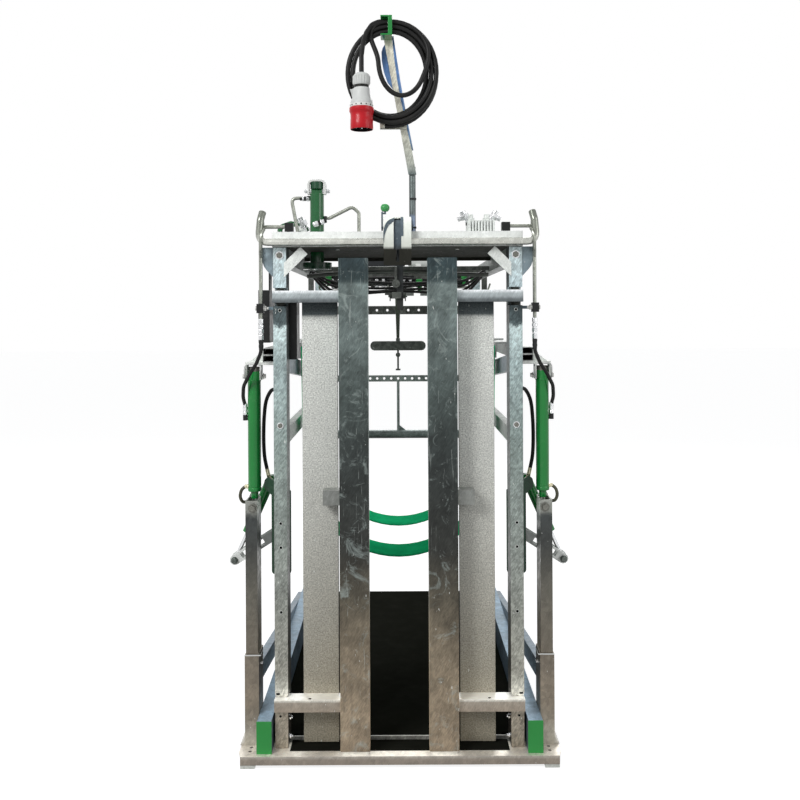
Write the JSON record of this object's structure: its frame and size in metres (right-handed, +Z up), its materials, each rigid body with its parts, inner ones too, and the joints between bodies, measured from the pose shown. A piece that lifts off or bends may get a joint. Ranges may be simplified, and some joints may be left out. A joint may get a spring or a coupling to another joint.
{
  "type": "hoof trimming chute",
  "caption": "Galvanised hoof trimming chute: box frame on a rubber-matted base, head gate doors, belly lift belts, hydraulic foot rests and a mast with a coiled supply cable.",
  "frame": {"origin": "on the ground under the middle of the base", "axes": "+Z up, +X to the right seen from the head gate, -Y towards the head gate, the front"},
  "size_m": [1.33, 2.055, 2.8],
  "materials": {
    "galvanised_steel": "hot-dip galvanised, spangled",
    "pale_zinc": "fresh pale zinc, fine spangle",
    "green_paint": "gloss",
    "dark_green_paint": "satin",
    "black_rubber": "matt",
    "bright_steel": "polished",
    "black_paint": "satin",
    "belt_green": "woven belt",
    "knob_green": "gloss",
    "plug_grey": "satin",
    "plug_red": "gloss"
  },
  "bodies": {
    "frame": {"base_plates": "galvanised_steel", "base_rails": "galvanised_steel", "rail_end_caps": "green_paint", "foot_pads": "pale_zinc", "floor_deck": "galvanised_steel", "floor_mat": "black_rubber", "corner_posts": "galvanised_steel", "hinge_channels": "galvanised_steel", "roof_side_beams": "galvanised_steel", "roof_sheet": "galvanised_steel", "roof_front_rail": "galvanised_steel", "corner_plates": "pale_zinc", "side_braces": "galvanised_steel", "guard_rails": "galvanised_steel", "outer_sleeves": "galvanised_steel", "outer_posts": "galvanised_steel", "rear_top_beam": "galvanised_steel", "pins_and_bolts": "bright_steel", "foot_rest_brackets": "dark_green_paint", "latch_housing": "pale_zinc", "press_barrel": "green_paint", "press_clevis": "pale_zinc", "hydraulic_pipes": "bright_steel", "pipe_fittings": "black_paint", "lift_hoses": "black_rubber", "valve_blocks": "pale_zinc", "power_pack": "black_paint", "mast": "galvanised_steel", "cable_hook": "green_paint", "cord_coil": "black_rubber", "cord_lead": "black_rubber", "plug_shell": "plug_grey", "plug_collar": "plug_red", "lift_rods": "bright_steel", "lift_guide_bars": "galvanised_steel", "winch_chain": "galvanised_steel", "control_boxes": "black_paint"},
    "lift": {"lift_rails": "galvanised_steel", "lift_brackets": "pale_zinc", "lift_barrels": "green_paint", "belly_belts": "belt_green", "hose_ports": "black_paint"},
    "door_left": {"door_bar_left": "galvanised_steel", "door_frame_left": "galvanised_steel", "door_panel_left": "pale_zinc"},
    "door_right": {"door_bar_right": "galvanised_steel", "door_frame_right": "galvanised_steel", "door_panel_right": "pale_zinc"},
    "latch": {"latch_lever": "black_paint", "latch_knob": "knob_green"},
    "press": {"press_rod": "dark_green_paint"},
    "foot_arm_left": {"foot_arm_left": "pale_zinc"},
    "foot_barrel_left": {"foot_barrel_left": "green_paint"},
    "foot_rod_left": {"foot_rod_left": "bright_steel"},
    "foot_arm_right": {"foot_arm_right": "pale_zinc"},
    "foot_barrel_right": {"foot_barrel_right": "green_paint"},
    "foot_rod_right": {"foot_rod_right": "bright_steel"},
    "gate": {"rear_gate": "galvanised_steel"},
    "winch": {"winch_drum": "galvanised_steel"},
    "spreader": {"leg_spreader": "black_paint"}
  },
  "joints": [
    {"name": "door_left_hinge", "type": "hinge", "parent": "frame", "child": "door_left", "pos_m": [-0.446, -0.914, 0.2], "axis": [0, 0, -1], "range_deg": [0, 90]},
    {"name": "door_right_hinge", "type": "hinge", "parent": "frame", "child": "door_right", "pos_m": [0.446, -0.914, 0.2], "axis": [0, 0, 1], "range_deg": [0, 90]},
    {"name": "latch_hinge", "type": "hinge", "parent": "frame", "child": "latch", "pos_m": [0, -0.945, 2.01], "axis": [1, 0, 0], "range_deg": [0, 30]},
    {"name": "lift_slide", "type": "slide", "parent": "frame", "child": "lift", "axis": [0, 0, 1], "range_m": [0, 0.3], "deforming": ["lift_hoses"]},
    {"name": "press_slide", "type": "slide", "parent": "frame", "child": "press", "axis": [0, 0, -1], "range_m": [0, 0.15]},
    {"name": "gate_hinge", "type": "hinge", "parent": "frame", "child": "gate", "pos_m": [-0.4077, 0.862, 1.1], "axis": [0, 0, 1], "range_deg": [0, 90]},
    {"name": "spreader_slide", "type": "slide", "parent": "frame", "child": "spreader", "axis": [0, 0, -1], "range_m": [0, 0.35], "deforming": ["winch_chain"]},
    {"name": "winch_turn", "type": "hinge", "parent": "frame", "child": "winch", "pos_m": [0, 0.6, 1.8], "axis": [1, 0, 0], "range_deg": [0, 570]},
    {"name": "foot_left_swing", "type": "hinge", "parent": "frame", "child": "foot_arm_left", "pos_m": [-0.45, -0.77, 0.845], "axis": [0, 1, 0], "range_deg": [0, 30]},
    {"name": "foot_left_tilt", "type": "hinge", "parent": "frame", "child": "foot_barrel_left", "pos_m": [-0.504, -0.77, 1.035], "axis": [0, 1, 0], "range_deg": [0, 17.5]},
    {"name": "foot_left_rod", "type": "slide", "parent": "foot_barrel_left", "child": "foot_rod_left", "axis": [0.4107, 0, 0.9118], "range_m": [0, 0.078]},
    {"name": "foot_right_swing", "type": "hinge", "parent": "frame", "child": "foot_arm_right", "pos_m": [0.45, -0.77, 0.845], "axis": [0, -1, 0], "range_deg": [0, 30]},
    {"name": "foot_right_tilt", "type": "hinge", "parent": "frame", "child": "foot_barrel_right", "pos_m": [0.504, -0.77, 1.035], "axis": [0, -1, 0], "range_deg": [0, 17.5]},
    {"name": "foot_right_rod", "type": "slide", "parent": "foot_barrel_right", "child": "foot_rod_right", "axis": [-0.4107, 0, 0.9118], "range_m": [0, 0.078]}
  ],
  "couplings": [
    {"joint": "winch_turn", "follows": "spreader_slide", "rad_per_m": 28.33},
    {"joint": "foot_left_tilt", "follows": "foot_left_swing", "ratio": 0.578},
    {"joint": "foot_left_rod", "follows": "foot_left_swing", "m_per_rad": 0.1476},
    {"joint": "foot_right_tilt", "follows": "foot_right_swing", "ratio": 0.578},
    {"joint": "foot_right_rod", "follows": "foot_right_swing", "m_per_rad": 0.1476}
  ]
}
